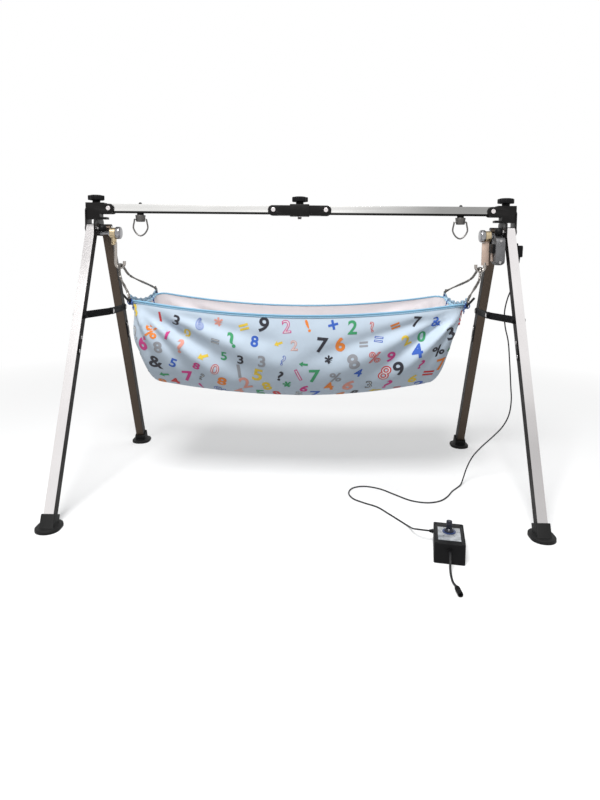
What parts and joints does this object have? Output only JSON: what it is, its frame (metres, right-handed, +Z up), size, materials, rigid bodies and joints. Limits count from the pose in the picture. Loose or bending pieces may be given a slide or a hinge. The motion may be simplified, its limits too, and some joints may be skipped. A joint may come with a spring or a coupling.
{
  "type": "hanging baby cradle",
  "caption": "Folding stand of square steel tube with a cloth hammock on two swing arms, an electric swing drive and a speed controller on the floor.",
  "frame": {"origin": "on the floor under the middle of the beam, at the middle of the four feet", "axes": "+Z up, +X along the beam towards the electric drive, +Y away from the viewer"},
  "size_m": [1.2653, 0.9804, 0.8353],
  "materials": {
    "steel": "brushed stainless tube and wire",
    "chrome": "bright plated",
    "black_metal": "satin black paint",
    "black_plastic": "moulded, satin",
    "dial_plastic": "moulded, satin, a blue tint",
    "cast_metal": "as cast, grey",
    "brass_bar": "dull copper-tinted bar",
    "cloth": "pale blue woven cloth",
    "rubber": "moulded rubber",
    "silver_plate": "silver label plate, bare of names",
    "board": "green circuit board"
  },
  "bodies": {
    "right_frame": {"right_head": "black_metal", "right_head_rivet": "chrome", "right_front_leg_pin": "chrome", "right_back_leg_pin": "chrome", "right_axle": "chrome", "drive_housing": "cast_metal", "drive_coil": "black_plastic", "jack_box": "black_plastic", "drive_plug": "black_plastic", "drive_lead": "rubber", "box_base": "black_plastic", "box_lid": "black_plastic", "label_plate": "silver_plate", "potentiometer": "cast_metal", "circuit_board": "board", "drive_gland": "rubber", "supply_gland": "rubber", "supply_lead": "rubber", "supply_socket": "black_plastic"},
    "right_beam": {"right_beam": "steel", "right_ring_bolt": "black_metal"},
    "centre": {"centre_bracket": "black_metal", "centre_rivet_left": "chrome", "centre_rivet_right": "chrome"},
    "left_beam": {"left_beam": "steel", "left_ring_bolt": "black_metal"},
    "left_frame": {"left_head": "black_metal", "left_head_rivet": "chrome", "left_front_leg_pin": "chrome", "left_back_leg_pin": "chrome", "left_axle": "chrome"},
    "centre_knob": {"centre_knob": "black_plastic"},
    "right_swing": {"right_swing_arm": "brass_bar", "hammock": "cloth"},
    "left_swing": {"left_swing_arm": "chrome"},
    "speed_dial": {"speed_dial": "dial_plastic"},
    "left_front_leg": {"left_front_leg": "steel", "left_front_foot": "rubber"},
    "left_back_leg": {"left_back_leg": "steel", "left_back_foot": "rubber"},
    "left_stay_front": {"left_stay_front": "black_metal"},
    "left_stay_back": {"left_stay_back": "black_metal"},
    "left_hanger": {"left_hanger": "steel", "left_spreader": "black_metal"},
    "left_ring_swivel": {"left_ring_swivel": "cast_metal"},
    "left_ring": {"left_ring": "chrome"},
    "left_head_knob": {"left_head_knob": "black_plastic"},
    "left_lock_knob": {"left_lock_knob": "black_plastic"},
    "right_front_leg": {"right_front_leg": "steel", "right_front_foot": "rubber"},
    "right_back_leg": {"right_back_leg": "steel", "right_back_foot": "rubber"},
    "right_stay_front": {"right_stay_front": "black_metal"},
    "right_stay_back": {"right_stay_back": "black_metal"},
    "right_hanger": {"right_hanger": "steel", "right_spreader": "black_metal"},
    "right_ring_swivel": {"right_ring_swivel": "cast_metal"},
    "right_ring": {"right_ring": "chrome"},
    "right_head_knob": {"right_head_knob": "black_plastic"},
    "right_lock_knob": {"right_lock_knob": "black_plastic"}
  },
  "joints": [
    {"name": "beam_fold", "type": "hinge", "parent": "right_frame", "child": "right_beam", "pos_m": [0.548, 0, 0.797], "axis": [0, 1, 0], "range_deg": [0, 82], "deforming": ["hammock"]},
    {"name": "centre_right_hinge", "type": "hinge", "parent": "right_beam", "child": "centre", "pos_m": [0.075, 0, 0.797], "axis": [0, 1, 0], "range_deg": [-82, 0]},
    {"name": "centre_left_hinge", "type": "hinge", "parent": "centre", "child": "left_beam", "pos_m": [-0.075, 0, 0.797], "axis": [0, 1, 0], "range_deg": [-82, 0]},
    {"name": "left_beam_fold", "type": "hinge", "parent": "left_beam", "child": "left_frame", "pos_m": [-0.548, 0, 0.797], "axis": [0, 1, 0], "range_deg": [0, 82]},
    {"name": "left_front_leg_fold", "type": "hinge", "parent": "left_frame", "child": "left_front_leg", "pos_m": [-0.596, -0.014, 0.74], "axis": [1, 0, 0], "range_deg": [0, 19]},
    {"name": "left_back_leg_fold", "type": "hinge", "parent": "left_frame", "child": "left_back_leg", "pos_m": [-0.562, 0.014, 0.74], "axis": [1, 0, 0], "range_deg": [-19, 0]},
    {"name": "left_stay_front_fold", "type": "hinge", "parent": "left_front_leg", "child": "left_stay_front", "pos_m": [-0.582, -0.1217, 0.5], "axis": [1, 0, 0], "range_deg": [0, 54]},
    {"name": "left_stay_back_fold", "type": "hinge", "parent": "left_stay_front", "child": "left_stay_back", "pos_m": [-0.549, 0, 0.5], "axis": [1, 0, 0], "range_deg": [-145, 0]},
    {"name": "left_swing", "type": "hinge", "parent": "left_frame", "child": "left_swing", "pos_m": [-0.5366, -0.008, 0.727], "axis": [1, 0, 0], "range_deg": [-15, 15]},
    {"name": "left_hanger_tilt", "type": "hinge", "parent": "left_swing", "child": "left_hanger", "pos_m": [-0.5186, -0.008, 0.6352], "axis": [0, 1, 0], "range_deg": [0, 40]},
    {"name": "left_ring_spin", "type": "hinge", "parent": "left_beam", "child": "left_ring_swivel", "pos_m": [-0.46, 0, 0.767], "axis": [0, 0, 1], "continuous": true},
    {"name": "left_ring_tilt", "type": "hinge", "parent": "left_ring_swivel", "child": "left_ring", "pos_m": [-0.46, 0, 0.7665], "axis": [1, 0, 0], "range_deg": [-80, 80]},
    {"name": "left_head_knob_turn", "type": "hinge", "parent": "left_frame", "child": "left_head_knob", "pos_m": [-0.5875, 0, 0.82], "axis": [0, 0, 1], "continuous": true},
    {"name": "left_lock_knob_turn", "type": "hinge", "parent": "left_frame", "child": "left_lock_knob", "pos_m": [-0.561, -0.03, 0.739], "axis": [1, 0, 0], "continuous": true},
    {"name": "right_front_leg_fold", "type": "hinge", "parent": "right_frame", "child": "right_front_leg", "pos_m": [0.596, -0.014, 0.74], "axis": [1, 0, 0], "range_deg": [0, 19]},
    {"name": "right_back_leg_fold", "type": "hinge", "parent": "right_frame", "child": "right_back_leg", "pos_m": [0.562, 0.014, 0.74], "axis": [1, 0, 0], "range_deg": [-19, 0]},
    {"name": "right_stay_front_fold", "type": "hinge", "parent": "right_front_leg", "child": "right_stay_front", "pos_m": [0.582, -0.1217, 0.5], "axis": [1, 0, 0], "range_deg": [0, 54]},
    {"name": "right_stay_back_fold", "type": "hinge", "parent": "right_stay_front", "child": "right_stay_back", "pos_m": [0.549, 0, 0.5], "axis": [1, 0, 0], "range_deg": [-145, 0]},
    {"name": "right_swing", "type": "hinge", "parent": "right_frame", "child": "right_swing", "pos_m": [0.5366, -0.008, 0.727], "axis": [1, 0, 0], "range_deg": [-15, 15]},
    {"name": "right_hanger_tilt", "type": "hinge", "parent": "right_swing", "child": "right_hanger", "pos_m": [0.5186, -0.008, 0.6352], "axis": [0, 1, 0], "range_deg": [-40, 0]},
    {"name": "right_ring_spin", "type": "hinge", "parent": "right_beam", "child": "right_ring_swivel", "pos_m": [0.46, 0, 0.767], "axis": [0, 0, 1], "continuous": true},
    {"name": "right_ring_tilt", "type": "hinge", "parent": "right_ring_swivel", "child": "right_ring", "pos_m": [0.46, 0, 0.7665], "axis": [1, 0, 0], "range_deg": [-80, 80]},
    {"name": "right_head_knob_turn", "type": "hinge", "parent": "right_frame", "child": "right_head_knob", "pos_m": [0.5875, 0, 0.82], "axis": [0, 0, 1], "continuous": true},
    {"name": "right_lock_knob_turn", "type": "hinge", "parent": "right_frame", "child": "right_lock_knob", "pos_m": [0.561, -0.03, 0.739], "axis": [1, 0, 0], "continuous": true},
    {"name": "centre_knob_turn", "type": "hinge", "parent": "centre", "child": "centre_knob", "pos_m": [0, 0, 0.82], "axis": [0, 0, 1], "continuous": true},
    {"name": "speed_dial_turn", "type": "hinge", "parent": "right_frame", "child": "speed_dial", "pos_m": [0.35669, -0.4151, 0.06], "axis": [0, 0, 1], "range_deg": [-150, 150]}
  ],
  "couplings": [
    {"joint": "centre_right_hinge", "follows": "beam_fold", "ratio": -1},
    {"joint": "centre_left_hinge", "follows": "beam_fold", "ratio": -1},
    {"joint": "left_beam_fold", "follows": "beam_fold", "ratio": 1},
    {"joint": "left_back_leg_fold", "follows": "left_front_leg_fold", "ratio": -1},
    {"joint": "left_stay_front_fold", "follows": "left_front_leg_fold", "ratio": 2.7874},
    {"joint": "left_stay_back_fold", "follows": "left_front_leg_fold", "ratio": -7.5737},
    {"joint": "left_hanger_tilt", "follows": "beam_fold", "ratio": 0.46341},
    {"joint": "right_back_leg_fold", "follows": "right_front_leg_fold", "ratio": -1},
    {"joint": "right_stay_front_fold", "follows": "right_front_leg_fold", "ratio": 2.7874},
    {"joint": "right_stay_back_fold", "follows": "right_front_leg_fold", "ratio": -7.5737},
    {"joint": "right_hanger_tilt", "follows": "beam_fold", "ratio": -0.46341},
    {"joint": "left_swing", "follows": "right_swing", "ratio": 1}
  ]
}
